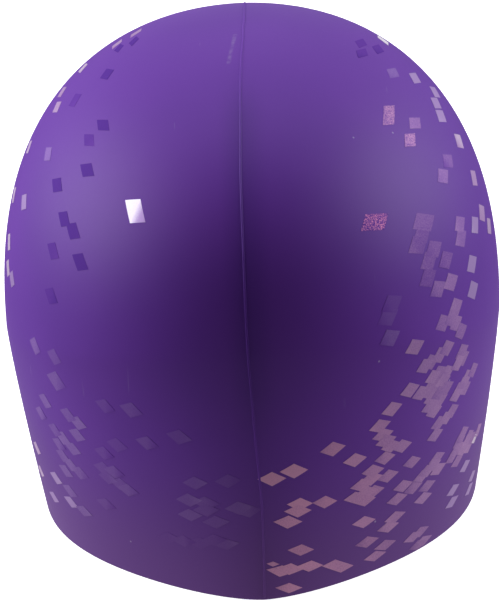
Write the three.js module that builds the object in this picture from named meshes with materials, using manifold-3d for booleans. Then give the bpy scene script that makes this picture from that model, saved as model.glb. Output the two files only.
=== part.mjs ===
// A moulded silicone swim cap, standing on its rim as it does on a bench.
// Millimetres, +Z up. The origin is under the top of the crown, on the plane of the rim.
// -Y is the nape, +Y the forehead, and the mould seam runs over the crown in the plane X = 0.
import * as THREE from "three";
import Module from "manifold-3d";
import { mergeVertices } from "three/addons/utils/BufferGeometryUtils.js";

const wasm = await Module();
wasm.setup();

// Driving sizes of the outside of the shell.
const CAP_WIDTH = 160;
const CAP_LENGTH = 200;
const CAP_HEIGHT = 156;
const WALL = 1;

// The raised line that the two halves of the mould leave.
const SEAM_WIDTH = 0.8;
const SEAM_RISE = 0.25;
const SEAM_ROOT = WALL / 2; // the line is part of the wall down to its middle

// How the wall runs at the sides, the nape and the forehead.
//   fullest   height of the fullest point, as a share of the cap's height
//   tuck      how far the rim is drawn in, as a share of the reach from the crown's axis
//   keel      2 is a plain oval rim, and less draws it to a soft ridge at the seam
const QUARTERS = {
  side: { fullest: 0.403, tuck: 0.113, keel: 2 },
  back: { fullest: 0.55, tuck: 0.09, keel: 1.6 },
  front: { fullest: 0.39, tuck: 0.08, keel: 1.85 },
};
const TUCK_POWER = 1.18; // 1 draws the wall in along a straight line, and more bends it
const CROWN_FULLNESS = 2.44; // 2 is a plain oval dome, and more has fuller shoulders

// How finely the shell is faceted.
const COLUMNS = 72;
const TUCK_ROWS = 9;
const CROWN_ROWS = 21;

const blend = (from, to, share) => from + (to - from) * share;

// What the wall follows in the direction `turn`, which is 0 at the nape and a half turn at the forehead.
function quarterAt(turn) {
  const end = Math.cos(turn) > 0 ? QUARTERS.back : QUARTERS.front;
  const share = Math.cos(turn) ** 2;
  return {
    fullest: CAP_HEIGHT * blend(QUARTERS.side.fullest, end.fullest, share),
    tuck: blend(QUARTERS.side.tuck, end.tuck, share),
    keel: blend(QUARTERS.side.keel, end.keel, share),
  };
}

// How far the cap's oval lies from the crown's axis in one direction.
function ovalRadius(turn, power) {
  const across = Math.abs(Math.sin(turn)) / (CAP_WIDTH / 2);
  const along = Math.abs(Math.cos(turn)) / (CAP_LENGTH / 2);
  return (across ** power + along ** power) ** (-1 / power);
}

// A point of the outside. `rise` is 0 at the rim, 1 at the fullest point and 2 at the top of the crown.
function outside(turn, rise) {
  const quarter = quarterAt(turn);
  let radius;
  let height;
  if (rise < 1) {
    const drawn = 1 - rise;
    const power = blend(2, quarter.keel, drawn);
    radius = ovalRadius(turn, power) * (1 - quarter.tuck * drawn ** TUCK_POWER);
    height = quarter.fullest * rise;
  } else {
    const climb = (rise - 1) * (Math.PI / 2);
    const power = 2 / CROWN_FULLNESS;
    radius = ovalRadius(turn, 2) * Math.cos(climb) ** power;
    height = blend(quarter.fullest, CAP_HEIGHT, Math.sin(climb) ** power);
  }
  return new THREE.Vector3(radius * Math.sin(turn), -radius * Math.cos(turn), height);
}

// The direction that the outside faces at a point, from the points beside it.
function facing(turn, rise) {
  const step = 1e-3;
  const below = Math.max(0, rise - step);
  const around = outside(turn + step, rise).sub(outside(turn - step, rise));
  const upward = outside(turn, below + 2 * step).sub(outside(turn, below));
  return around.cross(upward).normalize();
}

// The point a wall thickness inside. At the rim it stays on the plane that the cap stands on.
function inside(turn, rise) {
  const point = outside(turn, rise);
  const normal = facing(turn, rise);
  if (rise > 0) {
    return point.addScaledVector(normal, -WALL);
  }
  const level = new THREE.Vector3(normal.x, normal.y, 0);
  const slant = level.length();
  return point.addScaledVector(level, -WALL / (slant * slant));
}

// The rows of facets, from the rim to the last one below the top of the crown.
function rises() {
  const rows = [];
  for (let i = 0; i < TUCK_ROWS; i++) {
    rows.push(i / TUCK_ROWS);
  }
  for (let i = 0; i < CROWN_ROWS; i++) {
    rows.push(1 + i / CROWN_ROWS);
  }
  return rows;
}

// The shell as one closed surface: up the outside, over the two crown points and down the inside.
function shellGeometry() {
  const rows = rises();
  const positions = [];
  const faces = [];
  for (let column = 0; column < COLUMNS; column++) {
    const turn = (column / COLUMNS) * Math.PI * 2;
    const outer = rows.map((rise) => outside(turn, rise));
    const inner = rows.map((rise) => inside(turn, rise)).reverse();
    [...outer, ...inner].forEach((point) => positions.push(...point.toArray()));
  }
  const perColumn = rows.length * 2;
  const outerTop = positions.length / 3;
  positions.push(0, 0, CAP_HEIGHT);
  const innerTop = outerTop + 1;
  positions.push(0, 0, CAP_HEIGHT - WALL);

  for (let column = 0; column < COLUMNS; column++) {
    const here = column * perColumn;
    const next = ((column + 1) % COLUMNS) * perColumn;
    for (let i = 0; i < perColumn; i++) {
      const up = (i + 1) % perColumn;
      if (i === rows.length - 1) {
        faces.push(here + i, next + i, outerTop);
        faces.push(innerTop, next + up, here + up);
      } else {
        faces.push(here + i, next + i, next + up);
        faces.push(here + i, next + up, here + up);
      }
    }
  }
  const geometry = new THREE.BufferGeometry();
  geometry.setAttribute("position", new THREE.Float32BufferAttribute(positions, 3));
  geometry.setIndex(faces);
  return geometry;
}

// Where the seam line climbs one end of the cap: points of the wall, and the way each one faces.
function seamPlaces(turn) {
  return rises().map((rise) => {
    const point = outside(turn, rise);
    const normal = facing(turn, rise);
    normal.x = 0;
    if (rise === 0) {
      normal.z = 0;
    }
    return { point, normal: normal.normalize() };
  });
}

// The seam line as a thin upright band, from the nape's rim over the crown to the forehead's.
function seamGeometry() {
  const crownTop = { point: new THREE.Vector3(0, 0, CAP_HEIGHT), normal: new THREE.Vector3(0, 0, 1) };
  const places = [...seamPlaces(0), crownTop, ...seamPlaces(Math.PI).reverse()];
  const beyond = ({ point, normal }, out) =>
    new THREE.Vector2(point.y + normal.y * out, point.z + normal.z * out);
  const band = new THREE.Shape([
    ...places.map((place) => beyond(place, SEAM_RISE)),
    ...places.map((place) => beyond(place, -SEAM_ROOT)).reverse(),
  ]);
  const geometry = new THREE.ExtrudeGeometry(band, { depth: SEAM_WIDTH, bevelEnabled: false });
  geometry.translate(0, 0, -SEAM_WIDTH / 2);
  // The shape's own X and Y become the cap's Y and Z, and its depth the cap's X.
  geometry.rotateX(Math.PI / 2);
  geometry.rotateZ(Math.PI / 2);
  return geometry;
}

function solidFrom(geometry) {
  geometry.deleteAttribute("normal");
  geometry.deleteAttribute("uv");
  const merged = mergeVertices(geometry, 1e-4);
  return new wasm.Manifold(
    new wasm.Mesh({
      numProp: 3,
      vertProperties: merged.attributes.position.array,
      triVerts: new Uint32Array(merged.index.array),
    }),
  );
}

function geometryFrom(solid) {
  const mesh = solid.getMesh();
  const geometry = new THREE.BufferGeometry();
  geometry.setAttribute("position", new THREE.BufferAttribute(new Float32Array(mesh.vertProperties), 3));
  geometry.setIndex(new THREE.BufferAttribute(new Uint32Array(mesh.triVerts), 1));
  geometry.computeVertexNormals();
  return geometry;
}

const violetSilicone = new THREE.MeshStandardMaterial({ color: 0x4b2a8c, roughness: 0.42, metalness: 0 });

const capShell = new THREE.Mesh(
  geometryFrom(solidFrom(shellGeometry()).add(solidFrom(seamGeometry()))),
  violetSilicone,
);
capShell.name = "cap_shell";

const swimCap = new THREE.Group();
swimCap.add(capShell);

export default swimCap;
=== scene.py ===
import math
import random

import bpy
import numpy as np
from mathutils import Matrix, Vector
from mathutils.bvhtree import BVHTree


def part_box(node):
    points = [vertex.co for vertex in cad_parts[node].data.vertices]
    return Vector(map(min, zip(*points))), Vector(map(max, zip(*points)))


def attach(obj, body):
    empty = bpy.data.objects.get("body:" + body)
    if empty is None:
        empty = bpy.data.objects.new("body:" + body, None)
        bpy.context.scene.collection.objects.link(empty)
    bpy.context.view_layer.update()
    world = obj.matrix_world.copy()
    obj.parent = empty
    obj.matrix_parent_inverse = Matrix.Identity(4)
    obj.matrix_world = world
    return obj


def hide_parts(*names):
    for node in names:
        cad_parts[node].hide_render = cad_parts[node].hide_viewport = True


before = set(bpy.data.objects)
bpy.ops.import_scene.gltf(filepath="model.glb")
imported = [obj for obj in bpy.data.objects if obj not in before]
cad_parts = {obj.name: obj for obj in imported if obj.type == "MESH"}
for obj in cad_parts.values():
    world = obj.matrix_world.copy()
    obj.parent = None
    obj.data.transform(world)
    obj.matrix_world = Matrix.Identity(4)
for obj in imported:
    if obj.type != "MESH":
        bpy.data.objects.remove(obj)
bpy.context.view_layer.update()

# The shell: the whole cap, one hollow moulding of soft silicone with a 1 mm wall.
# It is made in a two-part mould and trimmed at the rim, which is left slightly rounded.
MM = 0.001
ROOT = "root"

WALL = 1 * MM
SEAM_RISE = 0.25 * MM
LIP_DEPTH = 0.4 * MM

low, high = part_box("cap_shell")
CAP_WIDTH = high[0] - low[0]
CAP_LENGTH = high[1] - low[1] - 2 * SEAM_RISE
CAP_HEIGHT = high[2] - low[2] - SEAM_RISE

# How the wall runs at the sides, the nape and the forehead.
#   fullest   height of the fullest point, as a share of the cap's height
#   tuck      how far the rim is drawn in, as a share of the reach from the crown's axis
#   keel      2 is a plain oval rim, and less draws it to a soft ridge at the seam
SIDE = {"fullest": 0.403, "tuck": 0.113, "keel": 2}
BACK = {"fullest": 0.55, "tuck": 0.09, "keel": 1.6}
FRONT = {"fullest": 0.39, "tuck": 0.08, "keel": 1.85}
TUCK_POWER = 1.18
CROWN_FULLNESS = 2.44

# How finely the shell is meshed, and the rises between which its rows run.
SHELL_COLUMNS = 288
LIP_STEPS = 6
OUTER_ROWS = 112
OUTER_LAST_RISE = 1.995
INNER_ROWS = 48
INNER_FIRST_RISE = 0.04
INNER_LAST_RISE = 1.98
SLOPE_STEP = 1e-3


def blend(start, end, share):
    return start + (end - start) * share


def quarter(turn, name):
    """One of the values above, as it is in the direction `turn`."""
    end = np.where(np.cos(turn) > 0, BACK[name], FRONT[name])
    return blend(SIDE[name], end, np.cos(turn) ** 2)


def oval_radius(turn, power):
    across = np.abs(np.sin(turn)) / (CAP_WIDTH / 2)
    along = np.abs(np.cos(turn)) / (CAP_LENGTH / 2)
    return (across**power + along**power) ** (-1 / power)


def outside(turn, rise):
    """A point of the outside. `turn` is 0 at the nape and a quarter turn at +X.
    `rise` is 0 at the rim, 1 at the fullest point and 2 at the top of the crown."""
    turn, rise = np.broadcast_arrays(np.asarray(turn, float), np.asarray(rise, float))
    fullest = CAP_HEIGHT * quarter(turn, "fullest")
    drawn = np.clip(1 - rise, 0, 1)
    climb = np.clip(rise - 1, 0, 1) * (math.pi / 2)
    power = 2 / CROWN_FULLNESS
    tucked = oval_radius(turn, blend(2, quarter(turn, "keel"), drawn)) * (
        1 - quarter(turn, "tuck") * drawn**TUCK_POWER
    )
    radius = tucked * np.clip(np.cos(climb), 0, 1) ** power
    height = np.where(
        rise < 1, fullest * rise, blend(fullest, CAP_HEIGHT, np.sin(climb) ** power)
    )
    return np.stack([radius * np.sin(turn), -radius * np.cos(turn), height], axis=-1)


def slopes(turn, rise):
    """How a point of the outside moves with its turn and with its rise."""
    span = 2 * SLOPE_STEP
    lower = np.clip(np.asarray(rise, float) - SLOPE_STEP, 0, 2 - span)
    around = (outside(turn + SLOPE_STEP, rise) - outside(turn - SLOPE_STEP, rise)) / span
    upward = (outside(turn, lower + span) - outside(turn, lower)) / span
    return around, upward


def unit(vectors):
    return vectors / np.linalg.norm(vectors, axis=-1, keepdims=True)


def facing(turn, rise):
    around, upward = slopes(turn, rise)
    return unit(np.cross(around, upward))


def mesh_object(name, points, faces):
    mesh = bpy.data.meshes.new(name)
    mesh.from_pydata([tuple(p) for p in points], [], faces)
    mesh.validate()
    mesh.update()
    mesh.polygons.foreach_set("use_smooth", [True] * len(mesh.polygons))
    made = bpy.data.objects.new(name, mesh)
    bpy.context.scene.collection.objects.link(made)
    return made


def shell_profile(turn):
    """The wall cut through at one turn: down the inside, round the lip and up the outside."""
    fullest = CAP_HEIGHT * float(quarter(turn, "fullest"))
    lip_rise = LIP_DEPTH / fullest
    outer_rises = blend(lip_rise, OUTER_LAST_RISE, np.linspace(0, 1, OUTER_ROWS))
    inner_rises = blend(INNER_FIRST_RISE, INNER_LAST_RISE, np.linspace(0, 1, INNER_ROWS))
    outer = outside(turn, outer_rises)
    inner = outside(turn, inner_rises) - WALL * facing(turn, inner_rises)
    level = facing(turn, lip_rise) * (1, 1, 0)
    lip_inner = outer[0] - WALL * level / np.dot(level, level)
    middle = (outer[0] + lip_inner) / 2
    half = (outer[0] - lip_inner) / 2
    lip = [
        middle - half * math.cos(angle) - np.array([0, 0, LIP_DEPTH]) * math.sin(angle)
        for angle in np.linspace(0, math.pi, LIP_STEPS + 2)[:-1]
    ]
    return np.concatenate([inner[::-1], lip, outer])


turns = np.arange(SHELL_COLUMNS) / SHELL_COLUMNS * math.tau
profiles = [shell_profile(turn) for turn in turns]
per_column = len(profiles[0])
shell_points = [p for profile in profiles for p in profile]
inner_top = len(shell_points)
outer_top = inner_top + 1
shell_points += [np.array([0, 0, CAP_HEIGHT - WALL]), np.array([0, 0, CAP_HEIGHT])]
shell_faces = []
for column in range(SHELL_COLUMNS):
    here = column * per_column
    beside = (column + 1) % SHELL_COLUMNS * per_column
    for i in range(per_column - 1):
        shell_faces.append((here + i, beside + i, beside + i + 1, here + i + 1))
    shell_faces.append((inner_top, beside, here))
    shell_faces.append((here + per_column - 1, beside + per_column - 1, outer_top))
shell = mesh_object("silicone_shell", shell_points, shell_faces)
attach(shell, ROOT)
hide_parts("cap_shell")


class Wire:
    """An output socket of a shader node. Arithmetic on it adds the nodes that work it out."""

    def __init__(self, tree, socket):
        self.tree = tree
        self.socket = socket

    def maths(self, operation, *others, swap=False):
        values = (*others, self) if swap else (self, *others)
        return node(self.tree, "ShaderNodeMath", {"operation": operation}, dict(enumerate(values)))

    def __add__(self, other):
        return self.maths("ADD", other)

    def __sub__(self, other):
        return self.maths("SUBTRACT", other)

    def __mul__(self, other):
        return self.maths("MULTIPLY", other)

    def __rsub__(self, other):
        return self.maths("SUBTRACT", other, swap=True)

    __radd__ = __add__
    __rmul__ = __mul__

    def ramp(self, start, end):
        """0 up to `start`, 1 from `end` on and smooth in between."""
        values = {"Value": self, "From Min": start, "From Max": end}
        return node(
            self.tree, "ShaderNodeMapRange", {"interpolation_type": "SMOOTHSTEP"}, values
        )


def node(tree, kind, settings=None, values=None, out=0):
    """Adds a node. `out` is the name or the number of the output that is wanted."""
    made = tree.nodes.new(kind)
    for name, setting in (settings or {}).items():
        setattr(made, name, setting)
    for name, value in (values or {}).items():
        if isinstance(value, Wire):
            tree.links.new(value.socket, made.inputs[name])
        else:
            made.inputs[name].default_value = value
    return Wire(tree, made.outputs[out])


MIX_FACTOR, MIX_A, MIX_B, MIX_COLOUR = 0, 6, 7, 2


def mix(tree, factor, first, second):
    values = {MIX_FACTOR: factor, MIX_A: first, MIX_B: second}
    return node(tree, "ShaderNodeMix", {"data_type": "RGBA"}, values, MIX_COLOUR)


def colour(red, green, blue):
    return (red, green, blue, 1)


def new_material(name):
    material = bpy.data.materials.new(name)
    material.use_nodes = True
    material.node_tree.nodes.clear()
    return material, material.node_tree


def surface(tree, values):
    shader = node(tree, "ShaderNodeBsdfPrincipled", None, values)
    output = tree.nodes.new("ShaderNodeOutputMaterial")
    tree.links.new(shader.socket, output.inputs["Surface"])


def noise(tree, where, scale, detail=2.0, rough=0.5):
    values = {"Vector": where, "Scale": scale, "Detail": detail, "Roughness": rough}
    return node(tree, "ShaderNodeTexNoise", None, values)


SKIN = colour(0.130, 0.024, 0.362)
SKIN_DEEP = colour(0.112, 0.020, 0.330)
# Painted warm light from the table: the colour the silicone takes near the rim.
RIM_WARM_LIGHT_COLOUR = colour(0.124, 0.040, 0.258)
CREASE_SHADE_COLOUR = colour(0.072, 0.011, 0.240)
DUST = colour(0.52, 0.46, 0.62)
RIM_WARM_LIGHT_TOP = 0.058
CLOUD_SCALE = 14.0
CLOUD_DETAIL = 3.0
CLOUD_CONTRAST = (0.3, 0.7)

# Painted shade: a soft darker band along the seam at the nape, where the wall creases slightly. Each
# pair gives where the band fades in or out, in metres.
CREASE_HALF_WIDTH = 0.0085
CREASE_FOOT = (0.04, 0.09)
CREASE_TOP = (0.146, 0.1555)
CREASE_FRONT = (-0.03, 0.0)
CREASE_SHADE_STRENGTH = 0.6


def skin_colour_and_painted_light(tree, place):
    """The silicone's violet, clouded, with painted warm light from the table towards the rim and
    painted shade along the seam.
    """
    across = node(tree, "ShaderNodeSeparateXYZ", None, {"Vector": place}, out="X")
    along = node(tree, "ShaderNodeSeparateXYZ", None, {"Vector": place}, out="Y")
    height = node(tree, "ShaderNodeSeparateXYZ", None, {"Vector": place}, out="Z")
    clouds = noise(tree, place, CLOUD_SCALE, CLOUD_DETAIL)
    clouded = mix(tree, clouds.ramp(*CLOUD_CONTRAST), SKIN_DEEP, SKIN)
    # Painted warm light from the table: browner towards the rim.
    rim_lit = mix(tree, height.ramp(0.0, RIM_WARM_LIGHT_TOP), RIM_WARM_LIGHT_COLOUR, clouded)
    # Painted shade in a soft band along the seam at the nape, where the wall creases slightly.
    beside_seam = 1 - across.maths("ABSOLUTE").ramp(0.0, CREASE_HALF_WIDTH)
    up_the_wall = height.ramp(*CREASE_FOOT) * (1 - height.ramp(*CREASE_TOP))
    nape_side = 1 - along.ramp(*CREASE_FRONT)
    crease_shade = beside_seam * up_the_wall * nape_side * CREASE_SHADE_STRENGTH
    return mix(tree, crease_shade, rim_lit, CREASE_SHADE_COLOUR)


# The finish: a fine satin grain, with a little dust and a few faint scratches on it.
# Scales are in features for each metre. Dust, scratches and the rub mark further down have
# strengths that are shares of the dust's colour.
GRAIN_SCALE = 900.0
FINE_GRAIN_SCALE = 2600.0
DUST_SCALE = 75.0
DUST_SPECK = (0.02, 0.035)
DUST_PICKED = (0.40, 0.41)
DUST_STRENGTH = 0.5
SCRATCH_SCALE = (520, 60, 34)
SCRATCH_PICKED = (0.74, 0.80)
SCRATCH_STRENGTH = 0.10
GRAIN_BUMP = 0.05 * MM
GRAIN_BUMP_STRENGTH = 0.16
COARSE_SHARE = 0.6
SKIN_ROUGHNESS = 0.50
CLOUD_ROUGHNESS = 0.08
GRAIN_ROUGHNESS = 0.06

silicone, tree = new_material("violet_silicone")
place = node(tree, "ShaderNodeTexCoord", out="Object")
cloud = noise(tree, place, CLOUD_SCALE, CLOUD_DETAIL)
grain = noise(tree, place, GRAIN_SCALE)
fine_grain = noise(tree, place, FINE_GRAIN_SCALE, detail=1.0)

speck = {"Vector": place, "Scale": DUST_SCALE}
speck_size = node(tree, "ShaderNodeTexVoronoi", {"feature": "F1"}, speck)
speck_tint = node(tree, "ShaderNodeTexVoronoi", {"feature": "F1"}, speck, out="Color")
picked = node(tree, "ShaderNodeSeparateColor", None, {"Color": speck_tint}).ramp(*DUST_PICKED)
dust = (1 - speck_size.ramp(*DUST_SPECK)) * picked * DUST_STRENGTH
stretched = node(tree, "ShaderNodeMapping", None, {"Vector": place, "Scale": SCRATCH_SCALE})
scratches = noise(tree, stretched, 1.0).ramp(*SCRATCH_PICKED) * SCRATCH_STRENGTH


def vector_maths(tree, operation, first, second, out="Vector"):
    settings = {"operation": operation}
    return node(tree, "ShaderNodeVectorMath", settings, {0: first, 1: second}, out)


# A pale rub mark runs down beside the seam, near the top of the crown.
RUB_TOP = Vector((-0.0015, -0.0057, 0.156))
RUB_FOOT = Vector((-0.0037, -0.0292, 0.1545))
RUB_WIDTH = (0.0002, 0.0009)
RUB_GRAIN_SCALE = 500.0
RUB_CONTRAST = (0.25, 0.75)
RUB_STRENGTH = 0.22
rub_run = RUB_FOOT - RUB_TOP
from_top = vector_maths(tree, "SUBTRACT", place, RUB_TOP)
rub_scale = rub_run / rub_run.length_squared
share = vector_maths(tree, "DOT_PRODUCT", from_top, rub_scale, out="Value")
nearest = node(
    tree,
    "ShaderNodeVectorMath",
    {"operation": "SCALE"},
    {0: rub_run, "Scale": share.maths("MAXIMUM", 0).maths("MINIMUM", 1)},
)
aside = vector_maths(tree, "DISTANCE", from_top, nearest, out="Value")
rub_grain = noise(tree, place, RUB_GRAIN_SCALE).ramp(*RUB_CONTRAST)
rub = (1 - aside.ramp(*RUB_WIDTH)) * rub_grain * RUB_STRENGTH
marks = scratches.maths("MAXIMUM", dust).maths("MAXIMUM", rub)
bump_values = {
    "Strength": GRAIN_BUMP_STRENGTH,
    "Distance": GRAIN_BUMP,
    "Height": grain * COARSE_SHARE + fine_grain * (1 - COARSE_SHARE),
}
bump = node(tree, "ShaderNodeBump", None, bump_values)
surface(
    tree,
    {
        "Base Color": mix(tree, marks, skin_colour_and_painted_light(tree, place), DUST),
        "Roughness": SKIN_ROUGHNESS + cloud * CLOUD_ROUGHNESS + grain * GRAIN_ROUGHNESS,
        "IOR": 1.37,
        "Sheen Weight": 0.06,
        "Sheen Roughness": 0.5,
        "Sheen Tint": colour(0.8, 0.7, 1.0),
        "Normal": bump,
    },
)
shell.data.materials.append(silicone)

# The mould line: the fine raised thread of silicone where the two halves of the mould met.
# It is one with the shell and runs over the crown from the nape's rim to the forehead's.
LINE_HALF_WIDTH = 0.35 * MM
LINE_RISE = 0.22 * MM
LINE_ROOT = 0.3 * MM
LINE_WAVER = 0.12 * MM
LINE_ROWS = 300
LINE_START = 0.012  # rise, just over the rim
LINE_END = 4 - LINE_START
LINE_HIGHEST_RISE = 1.997  # the crown's own point faces no way
LINE_SMOOTHING = 25  # rows over which the strays below are evened out

# The line cut across: shares of its half width, and heights over the wall.
LINE_SECTION = [(-1, -LINE_ROOT), (-1, 0), (-0.6, LINE_RISE * 0.75), (0, LINE_RISE)]
LINE_SECTION += [(-across, height) for across, height in reversed(LINE_SECTION[:-1])]

# Two waves of unlike length, so that the waver doesn't repeat: strength, step for a row and start.
LINE_WAVES = ((1, 0.093, 0), (0.6, 0.211, 1))

# The line isn't quite straight: how far it strays to +X, in millimetres, from rim to rim.
# The rise goes on past the crown, from 2 down to the forehead's rim at 4.
LINE_STRAY = (
    # rise along the line, stray
    (0.00, 0.2), (0.25, 1.0), (0.50, 0.8), (0.70, 0.0), (0.90, -0.8), (1.15, -1.4), (1.50, -0.7),
    (1.85, 0.0), (2.00, 1.0), (2.10, 1.7), (2.25, 1.6), (2.60, 0.9), (3.00, 0.2), (4.00, 0.0),
)

line_places = []
line_run = blend(LINE_START, LINE_END, np.linspace(0, 1, LINE_ROWS))
strays = np.interp(line_run, *zip(*LINE_STRAY)) * MM
strays = np.pad(strays, LINE_SMOOTHING // 2, mode="edge")
strays = np.convolve(strays, np.ones(LINE_SMOOTHING) / LINE_SMOOTHING, mode="valid")
for reached, stray in zip(line_run, strays):
    straight_turn, rise = (0, reached) if reached < 2 else (math.pi, 4 - reached)
    rise = min(rise, LINE_HIGHEST_RISE)
    straight = outside(straight_turn, rise)
    turn = math.atan2(stray, -straight[1])
    line_places.append((outside(turn, rise), facing(turn, rise)))

line_points = []
for i, (point, normal) in enumerate(line_places):
    waves = [strength * math.sin(i * step + start) for strength, step, start in LINE_WAVES]
    waver = LINE_WAVER * sum(waves)
    for across, height in LINE_SECTION:
        offset = np.array([waver + across * LINE_HALF_WIDTH, 0, 0])
        line_points.append(point + offset + height * normal)
per_section = len(LINE_SECTION)
last_section = len(line_points) - per_section
line_faces = [
    tuple(range(per_section)),
    tuple(reversed(range(last_section, len(line_points)))),
]
for here in range(0, last_section, per_section):
    beyond = here + per_section
    for k in range(per_section):
        onward = (k + 1) % per_section
        line_faces.append((here + onward, here + k, beyond + k, beyond + onward))
mould_line = mesh_object("mould_line", line_points, line_faces)
mould_line.data.materials.append(silicone)
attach(mould_line, ROOT)

# The camera stands level with the photograph's: a little above the cap, looking at its nape.
# It is set up here because the printed squares are placed where the photograph shows them.
PHOTO_WIDTH, PHOTO_HEIGHT = 499, 600
FOCAL_PIXELS = 4006
SENSOR = 36  # mm
CAMERA_DISTANCE = 1.3
CAMERA_AZIMUTH = math.radians(0.70)
CAMERA_ELEVATION = math.radians(22)
CAMERA_ROLL = math.radians(2.7)
CAMERA_TARGET = Vector((-1.0 * MM, 0, 63.54 * MM))

back = Vector(
    (
        math.sin(CAMERA_AZIMUTH) * math.cos(CAMERA_ELEVATION),
        -math.cos(CAMERA_AZIMUTH) * math.cos(CAMERA_ELEVATION),
        math.sin(CAMERA_ELEVATION),
    )
)
level_right = Vector((math.cos(CAMERA_AZIMUTH), math.sin(CAMERA_AZIMUTH), 0))
level_up = back.cross(level_right)
camera_right = math.cos(CAMERA_ROLL) * level_right - math.sin(CAMERA_ROLL) * level_up
camera_up = math.cos(CAMERA_ROLL) * level_up + math.sin(CAMERA_ROLL) * level_right

camera = bpy.data.objects.new("camera", bpy.data.cameras.new("camera"))
bpy.context.scene.collection.objects.link(camera)
camera.data.sensor_width = SENSOR
camera.data.lens = FOCAL_PIXELS * SENSOR / PHOTO_HEIGHT
camera.matrix_world = Matrix.Translation(CAMERA_TARGET + back * CAMERA_DISTANCE) @ Matrix(
    (camera_right, camera_up, back)
).transposed().to_4x4()
bpy.context.scene.camera = camera

# The foil squares: small lilac squares of metallic ink, printed on the finished cap.
# They are pad-printed slightly askew, lie flat on the silicone and are thinner than a hair.
FOIL_ACROSS = 5.2 * MM
FOIL_UP = 4.9 * MM
FOIL_RISE = 0.05 * MM  # over the wall
FOIL_SKIRT = 0.03 * MM  # into the wall
FOIL_LAYER = 0.006 * MM  # squares that overlap lie in layers, this far apart
FOIL_LAYERS = 7
FOIL_STEPS = 4  # points along each edge

# Squares that differ from the rest in more than how they catch the light: pixels of the
# photograph, across and down.
BRIGHTEST = (135, 211)
UPPER_DARK = (107, 74)
UPPER_DIM = (75, 100)
LEFT_FAINT = (56, 381)
LONGEST = (360, 499)
LOWEST_LONG = (338, 566)
LOWEST_SPECK = (273, 564)
RIGHT_SLIVER = (475, 437)
GLITTERING = (375, 222)
BESIDE_GLITTER = (424, 222)
UPPER_FROSTED = (389, 115)
LOWER_FROSTED = (410, 140)

# Where the photograph shows squares, charted by how they catch the light.
CHART = {
    "white": (BRIGHTEST, (383, 40)),
    "pale": (
        (136, 33), (117, 44), (83, 68), (62, 92), (57, 107), (29, 147), (14, 195), (5, 241),
        (8, 268), (9, 242), (489, 226), (474, 178), (37, 448), (41, 471), RIGHT_SLIVER, (482, 213),
        (459, 141),
    ),
    "soft": (
        (24, 202), (12, 279), (56, 478), (54, 497), (441, 116), (435, 92), (415, 78), (436, 103),
        (475, 225), (472, 264), (473, 290), (71, 502), (465, 466), (472, 476), (469, 489),
        (453, 490), (452, 502),
    ),
    "pink": (
        LOWEST_SPECK, (281, 571), (290, 569), (289, 588), (310, 566), (288, 522), (298, 511),
        (300, 504), (294, 471), (272, 479),
    ),
    "glitter": (GLITTERING,),
    "frosted": (LOWER_FROSTED, UPPER_FROSTED),
    "dusky": (BESIDE_GLITTER, (422, 235), (418, 245), (434, 249), (429, 261), (446, 260), (428, 278)),
    "plain": (
        (415, 123), (448, 161), (443, 176), (460, 224), (461, 238), (451, 282), (438, 289),
        (415, 347), (456, 307), (452, 318), (443, 323), (456, 323), (461, 331), (447, 348),
        (440, 355), (431, 362), (425, 366), (462, 352), (463, 358), (458, 363), (473, 370),
        (447, 373), (439, 373), (433, 377), (443, 381), (436, 385), (446, 388), (439, 393),
        (432, 398), (440, 400), (430, 406), (434, 411), (428, 391), (410, 390), (421, 393),
        (467, 377), (463, 384), (456, 395), (459, 389), (465, 388), (392, 409), (452, 411),
        (446, 418), (439, 423), (435, 435), (380, 426), (383, 435), (386, 441), (391, 446),
        (402, 446), (463, 433), (467, 440), (459, 442), (472, 438), (478, 430), (456, 450),
        (463, 449), (468, 447), (452, 457), (457, 461), (333, 449), (355, 460), (385, 458),
        (412, 462), (437, 458), (433, 465), (427, 471), (422, 476), (438, 469), (373, 471),
        (388, 476), (371, 479), (362, 485), (367, 492), (374, 491), LONGEST, (403, 486), (413, 488),
        (427, 486), (397, 499), (423, 498), (325, 502), (461, 437), (458, 448), (469, 436),
        (364, 522), (395, 517), (388, 527), (367, 542), (385, 545), (375, 556), (420, 532),
        (423, 541), (413, 537), (418, 545), (301, 550), LOWEST_LONG,
    ),
    "faint": (
        (390, 338), (45, 401), (393, 73), (48, 154), (35, 346), LEFT_FAINT, (41, 413), (68, 415),
        (78, 423), (77, 435), (55, 430), (63, 438), (73, 449), (59, 444), (63, 456), (71, 465),
        (80, 473), (66, 471), (41, 478), (70, 491), (84, 511),
    ),
    "ghost": (
        (392, 304), (388, 317), (54, 357), (105, 406), (131, 410), (117, 445), (104, 453),
        (147, 443), (179, 437), (103, 468), (114, 472), (108, 478), (120, 484), (128, 490),
        (106, 504), (195, 483), (228, 481), (189, 500), (206, 503), (190, 515), (206, 510),
        (216, 522), (239, 508), (248, 511),
    ),
    "trace": ((169, 538), (184, 541), (200, 543), (214, 540), (226, 544)),
    "dim": (UPPER_DIM, (89, 140), (53, 251), (51, 296), (361, 43), (362, 53), (378, 49)),
    "dark": (
        (134, 41), (119, 48), UPPER_DARK, (103, 125), (87, 170), (57, 185), (64, 219), (73, 231),
        (80, 262),
    ),
}

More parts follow.
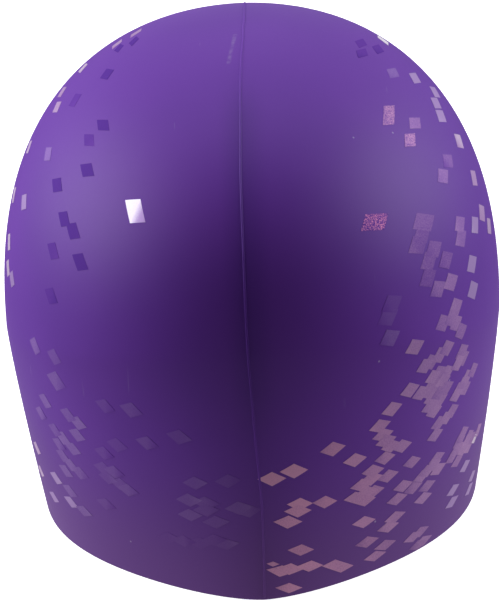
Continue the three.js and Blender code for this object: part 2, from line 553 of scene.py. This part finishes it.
# How the named squares differ from the rest.
#   wide, tall   times the usual size
#   lean         how much further the second edge is turned, in degrees
#    sheen_fade   how much darker the square is at its first corner, a painted fall-off of its reflection
ODD_SQUARES = {
    BRIGHTEST: {"wide": 1.06, "tall": 1.4, "lean": 11, "sheen_fade": 0.36},
    UPPER_DARK: {"lean": 16},
    UPPER_DIM: {"lean": 16},
    LEFT_FAINT: {"wide": 1.35, "tall": 1.3},
    LONGEST: {"wide": 1.8},
    LOWEST_LONG: {"wide": 1.7},
    LOWEST_SPECK: {"wide": 0.45, "tall": 0.45},
    RIGHT_SLIVER: {"wide": 0.6},
    GLITTERING: {"wide": 1.35},
    BESIDE_GLITTER: {"wide": 1.3},
    UPPER_FROSTED: {"wide": 0.85, "tall": 1.7},
    LOWER_FROSTED: {"wide": 0.85},
}

# How each kind looks. Its light is partly the ink's own tone and partly painted reflection of the
# studio.
#   light   0 is darker than the silicone, 0.2 the same, 0.7 full lilac and 1 nearly white
#   pink    how far the lilac leans to pink at 1, and on to magenta at 2
#   shine   how metallic the foil looks
#   grain   how strongly its flakes show
TONES = {
    "white": {"light": 0.95, "pink": 0.0, "shine": 0.3, "grain": 0.1},
    "pale": {"light": 0.79, "pink": 0.2, "shine": 0.3, "grain": 0.2},
    "soft": {"light": 0.68, "pink": 0.0, "shine": 0.25, "grain": 0.2},
    "pink": {"light": 0.66, "pink": 0.9, "shine": 0.25, "grain": 0.4},
    "glitter": {"light": 0.36, "pink": 1.5, "shine": 0.2, "grain": 1.9},
    "frosted": {"light": 0.43, "pink": 0.8, "shine": 0.2, "grain": 1.2},
    "dusky": {"light": 0.34, "pink": 0.5, "shine": 0.1, "grain": 0.3},
    "plain": {"light": 0.50, "pink": 0.35, "shine": 0.2, "grain": 0.3},
    "faint": {"light": 0.395, "pink": 0.0, "shine": 0.1, "grain": 0.2},
    "ghost": {"light": 0.33, "pink": 0.0, "shine": 0.05, "grain": 0.1},
    "trace": {"light": 0.28, "pink": 0.0, "shine": 0.0, "grain": 0.1},
    "dim": {"light": 0.12, "pink": 0.0, "shine": 0.0, "grain": 0.1},
    "dark": {"light": 0.05, "pink": 0.0, "shine": 0.1, "grain": 0.1},
}

# On the right, the plain squares catch more of the warm light from the table the nearer they are
# to the seam, and less light the higher they are.
WARM_FROM = 425  # pixels across
WARM_REACH = -110  # towards the seam
WARM_PINK = 0.6
WARM_LIGHT = 0.1
HIGH_FROM = 0.9  # rise
HIGH_REACH = 0.3
HIGH_DIMMING = 0.1

# The lowest plain and pink squares are a little dimmer.
LOW_FROM = 500  # pixels down
LOW_REACH = 50
LOW_DIMMING = 0.05

wall_tree = BVHTree.FromPolygons([Vector(p) for p in shell_points], shell_faces)


def place_in_photo(across, down):
    """The turn and rise of the wall that shows at a pixel of the photograph, or None."""
    sight = (
        camera_right * ((across - PHOTO_WIDTH / 2) / FOCAL_PIXELS)
        - camera_up * ((down - PHOTO_HEIGHT / 2) / FOCAL_PIXELS)
        - back
    )
    hit = wall_tree.ray_cast(camera.matrix_world.translation, sight)[0]
    if hit is None:
        return None
    turn = math.atan2(hit.x, -hit.y)
    fullest = CAP_HEIGHT * float(quarter(turn, "fullest"))
    if hit.z < fullest:
        return turn, hit.z / fullest
    share = min(1, (hit.z - fullest) / (CAP_HEIGHT - fullest))
    climb = math.asin(share ** (CROWN_FULLNESS / 2))
    return turn, 1 + climb / (math.pi / 2)


def share_past(value, start, reach):
    """0 up to `start`, 1 from `reach` beyond it on and even in between."""
    return min(1, max(0, (value - start) / reach))


# How the edges of a square are turned, in degrees. The first edge leans from the level by so much
# at the seam and by so much more for each degree of turn. Low down it leans further near the seam.
LEAN_AT_SEAM = -2
LEAN_WITH_TURN = -0.26
LOW_LEAN = 34
LOW_LEAN_LOSS = 0.7
LOW_LEAN_REACH = 0.5

# The second edge opens from the first by so much at the fullest point, and by less away from it.
OPENING = 75
OPENING_LOSS_BELOW = 32
OPENING_LOSS_ABOVE = 48


def square_edges(turn, rise):
    """The angles at which the two edges of a printed square run, measured from the level."""
    from_seam = abs(math.degrees(turn))
    from_seam = min(from_seam, 180 - from_seam)
    low_lean = max(0, LOW_LEAN - LOW_LEAN_LOSS * from_seam)
    first = LEAN_AT_SEAM + LEAN_WITH_TURN * from_seam
    first -= low_lean * share_past(1 - rise, 0, LOW_LEAN_REACH)
    opening = OPENING - OPENING_LOSS_BELOW * max(0, 1 - rise)
    opening -= OPENING_LOSS_ABOVE * max(0, rise - 1)
    return math.radians(first), math.radians(first + opening)


# Towards the crown the squares are taller, wider on the right and a little narrower on the left.
UPPER_FROM = 0.85
UPPER_REACH = 0.35
RIGHT_WIDER = 0.25
LEFT_WIDER = -0.02
UPPER_TALLER = 0.14

foil_points = []
foil_faces = []
foil_looks = []


def print_square(turn, rise, tone, wide, tall, skew, lean=0, sheen_fade=0):
    """Lays a square on the wall, with a skirt that reaches down into it on all four sides."""
    side = 1 if turn > 0 else -1
    upper = share_past(rise, UPPER_FROM, UPPER_REACH)
    wide = wide * (1 + (RIGHT_WIDER if side > 0 else LEFT_WIDER) * upper)
    tall = tall * (1 + UPPER_TALLER * upper)
    around, upward = slopes(turn, rise)
    level = unit(around) * side
    upright = unit(np.cross(np.cross(around, upward), around))
    first, second = square_edges(turn, rise)
    second += lean
    edge_u = (math.cos(first + skew) * level + math.sin(first + skew) * upright) * wide
    edge_v = (math.cos(second + skew) * level + math.sin(second + skew) * upright) * tall
    centre = outside(turn, rise)
    steps = np.linspace(-0.5, 0.5, FOIL_STEPS)
    start = len(foil_points)
    over_wall = FOIL_RISE + FOIL_LAYER * (start % FOIL_LAYERS)
    for v in steps:
        for u in steps:
            spot, normal = wall_tree.find_nearest(Vector(centre + edge_u * u + edge_v * v))[:2]
            foil_points.append(np.array(spot + over_wall * normal))
            # Painted reflection: the square's light falls off towards its first corner.
            foil_looks.append({**tone, "light": tone["light"] - sheen_fade * max(0, -u - v)})
    # The ring is the points of the square's rim, in order.
    ring = list(range(FOIL_STEPS))
    ring += [FOIL_STEPS * k + FOIL_STEPS - 1 for k in range(1, FOIL_STEPS)]
    ring += [FOIL_STEPS * (FOIL_STEPS - 1) + k for k in range(FOIL_STEPS - 2, -1, -1)]
    ring += [FOIL_STEPS * k for k in range(FOIL_STEPS - 2, 0, -1)]
    normal = facing(turn, rise)
    edge = len(foil_points)
    foil_points.extend(foil_points[start + k] for k in ring)
    skirt = len(foil_points)
    foil_points.extend(foil_points[start + k] - (over_wall + FOIL_SKIRT) * normal for k in ring)
    flip = side < 0  # the squares on the left are mirrored, so their faces are turned over

    def add(face):
        foil_faces.append(tuple(reversed(face)) if flip else tuple(face))

    for row in range(FOIL_STEPS - 1):
        for k in range(FOIL_STEPS - 1):
            corner = start + row * FOIL_STEPS + k
            add((corner, corner + 1, corner + FOIL_STEPS + 1, corner + FOIL_STEPS))
    for k in range(len(ring)):
        onward = (k + 1) % len(ring)
        add((edge + k, skirt + k, skirt + onward, edge + onward))
    foil_looks.extend([foil_looks[start + k] for k in ring] * 2)


# How far the printed squares stray by chance.
CHANCE_START = 21
LIGHT_STRAY = (0.93, 1.07)
SIZE_STRAY = (0.94, 1.06)
SKEW_STRAY = (-3, 3)  # degrees
# The painted fall-off of a square's reflection towards its first corner.
SHEEN_FADE_STRAY = (-0.08, 0.12)

chance = random.Random(CHANCE_START)
printed = []
for kind, pixels in CHART.items():
    for pixel in pixels:
        found = place_in_photo(*pixel)
        if found is None:
            continue
        across, down = pixel
        turn, rise = found
        odd = ODD_SQUARES.get(pixel, {})
        tone = dict(TONES[kind])
        tone["light"] *= chance.uniform(*LIGHT_STRAY)
        if kind == "plain" and across > PHOTO_WIDTH / 2:
            warm = share_past(across, WARM_FROM, WARM_REACH)
            high_up = share_past(rise, HIGH_FROM, HIGH_REACH)
            tone["pink"] += WARM_PINK * warm
            tone["light"] += WARM_LIGHT * warm - HIGH_DIMMING * high_up
        if kind in ("plain", "pink"):
            tone["light"] -= LOW_DIMMING * share_past(down, LOW_FROM, LOW_REACH)
        wide = FOIL_ACROSS * chance.uniform(*SIZE_STRAY) * odd.get("wide", 1)
        tall = FOIL_UP * chance.uniform(*SIZE_STRAY) * odd.get("tall", 1)
        skew = math.radians(chance.uniform(*SKEW_STRAY))
        lean = math.radians(odd.get("lean", 0))
        sheen_fade = odd.get("sheen_fade", chance.uniform(*SHEEN_FADE_STRAY))
        print_square(turn, rise, tone, wide, tall, skew, lean, sheen_fade)
        printed.append((turn, rise, kind, wide, tall))

# The photograph doesn't show the forehead's half. It carries the same scatter, turned half round
# and shifted a little, with a few squares left out.
FRONT_SHARE = 0.85
FRONT_TURN_SHIFT = (-3, 3)  # degrees
FRONT_RISE_SHIFT = (-0.03, 0.03)
FRONT_LOWEST = 0.04
FRONT_HIGHEST = 1.95
FACING_AWAY = -0.03  # how the wall faces the photograph's camera: 0 is edge on
BRIGHTER_IN_FRONT = {"ghost": "faint", "trace": "faint", "white": "pale"}
for turn, rise, kind, wide, tall in printed:
    turn += math.radians(chance.uniform(*FRONT_TURN_SHIFT)) + (math.pi if turn < 0 else -math.pi)
    rise += chance.uniform(*FRONT_RISE_SHIFT)
    unseen = np.dot(facing(turn, rise), back) < FACING_AWAY
    on_wall = FRONT_LOWEST < rise < FRONT_HIGHEST
    if not unseen or not on_wall or chance.random() > FRONT_SHARE:
        continue
    tone = dict(TONES[BRIGHTER_IN_FRONT.get(kind, kind)])
    skew = math.radians(chance.uniform(*SKEW_STRAY))
    print_square(turn, rise, tone, wide, tall, skew)

foil = mesh_object("foil_squares", foil_points, foil_faces)
for name in ("light", "pink", "shine", "grain"):
    layer = foil.data.attributes.new(name, "FLOAT", "POINT")
    layer.data.foreach_set("value", [look[name] for look in foil_looks])

# The dark and the white foil colours stand partly for painted reflection: the dark camera side and
# the softboxes seen in the ink.
FOIL_DARK = colour(0.080, 0.009, 0.290)
FOIL_LILAC = colour(0.39, 0.25, 0.57)
FOIL_PINK = colour(0.67, 0.32, 0.53)
FOIL_MAGENTA = colour(0.78, 0.13, 0.40)
FOIL_WHITE = colour(0.90, 0.84, 0.95)
FLAKE_SCALE = 2400.0

# The steps of a square's light and of its pink, which the comment on the kinds names.
DARKEST, BARE, FULL, WHITEST = 0.05, 0.2, 0.7, 1.0
ALL_PINK, ALL_MAGENTA = 1.0, 2.0
FOIL_ROUGHNESS = 0.40
FLAKE_ROUGHNESS = 0.12
BARE_ROUGHNESS = 0.35

foil_ink, tree = new_material("foil_ink")
place = node(tree, "ShaderNodeTexCoord", out="Object")


def painted(name):
    return node(tree, "ShaderNodeAttribute", {"attribute_name": name}, out="Fac")


light, pink, shine = painted("light"), painted("pink"), painted("shine")
flake = noise(tree, place, FLAKE_SCALE, detail=3.0, rough=0.7)
lit = light + (flake - 0.5) * painted("grain")
bareness = 1 - lit.ramp(DARKEST, FULL)
lilac = mix(tree, pink, FOIL_LILAC, FOIL_PINK)
lilac = mix(tree, pink.ramp(ALL_PINK, ALL_MAGENTA), lilac, FOIL_MAGENTA)
thin = mix(tree, lit.ramp(DARKEST, BARE), FOIL_DARK, skin_colour_and_painted_light(tree, place))
full = mix(tree, lit.ramp(BARE, FULL), thin, lilac)
surface(
    tree,
    {
        "Base Color": mix(tree, lit.ramp(FULL, WHITEST), full, FOIL_WHITE),
        "Metallic": shine,
        "Roughness": FOIL_ROUGHNESS + flake * FLAKE_ROUGHNESS + bareness * BARE_ROUGHNESS,
        "IOR": 1.40,
    },
)
foil.data.materials.append(foil_ink)
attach(foil, ROOT)

# The studio: a plain pale floor, a large softbox at each side, one overhead and a dark camera side.
# Nothing here belongs to the cap.
FLOOR_SIDE = 8.0
FLOOR_GLOW = 0.85
bpy.ops.mesh.primitive_plane_add(size=FLOOR_SIDE, location=(0, 0, 0))
floor = bpy.context.object
floor.name = "floor"
floor_paint, tree = new_material("floor_paint")
surface(
    tree,
    {
        "Base Color": colour(0.90, 0.90, 0.905),
        "Roughness": 0.7,
        "Emission Color": colour(1, 1, 1),
        "Emission Strength": FLOOR_GLOW,
    },
)
floor.data.materials.append(floor_paint)
floor.visible_diffuse = False
floor.visible_glossy = False

LIGHTS = {
    #                 spot                 size        power
    "softbox_left": ((-0.85, 0.15, 0.48), (0.9, 0.8), 5.5),
    "softbox_right": ((0.85, 0.18, 0.47), (0.9, 0.8), 4.3),
    "softbox_top": ((0, 0.35, 1.10), (1.1, 0.7), 1.6),
    "softbox_back": ((0, 0.95, 0.45), (1.4, 0.6), 0.4),
}
SOFTBOX_SPREAD = math.radians(120)
AIM = Vector((0, 0, 0.09))


def hang_lamp(name, shape, spot, size, power):
    lamp = bpy.data.lights.new(name, "AREA")
    lamp.shape = shape
    lamp.size, lamp.size_y = size
    lamp.energy = power
    holder = bpy.data.objects.new(name, lamp)
    holder.location = spot
    bpy.context.scene.collection.objects.link(holder)
    return holder


for name, (spot, size, power) in LIGHTS.items():
    softbox = hang_lamp(name, "RECTANGLE", spot, size, power)
    softbox.data.spread = SOFTBOX_SPREAD
    softbox.rotation_euler = (AIM - softbox.location).to_track_quat("-Z", "Y").to_euler()

# The table gives back a little warm light, which shows on the lower part of the wall.
GLOW_HEIGHT = 0.02 * MM
GLOW_SIZE = (0.38, 0.42)
GLOW_POWER = 0.17
GLOW_COLOUR = (1.0, 0.90, 0.88)
glow = hang_lamp("table_glow", "ELLIPSE", (0, 0, GLOW_HEIGHT), GLOW_SIZE, GLOW_POWER)
glow.data.color = GLOW_COLOUR
glow.rotation_euler = (math.pi, 0, 0)
glow.visible_camera = False

AIR_COLOUR = colour(0.9, 0.9, 0.92)
AIR_STRENGTH = 0.11
world = bpy.data.worlds.new("studio")
world.use_nodes = True
air = world.node_tree.nodes["Background"].inputs
air["Color"].default_value = AIR_COLOUR
air["Strength"].default_value = AIR_STRENGTH
bpy.context.scene.world = world
bpy.context.scene.view_settings.view_transform = "Standard"
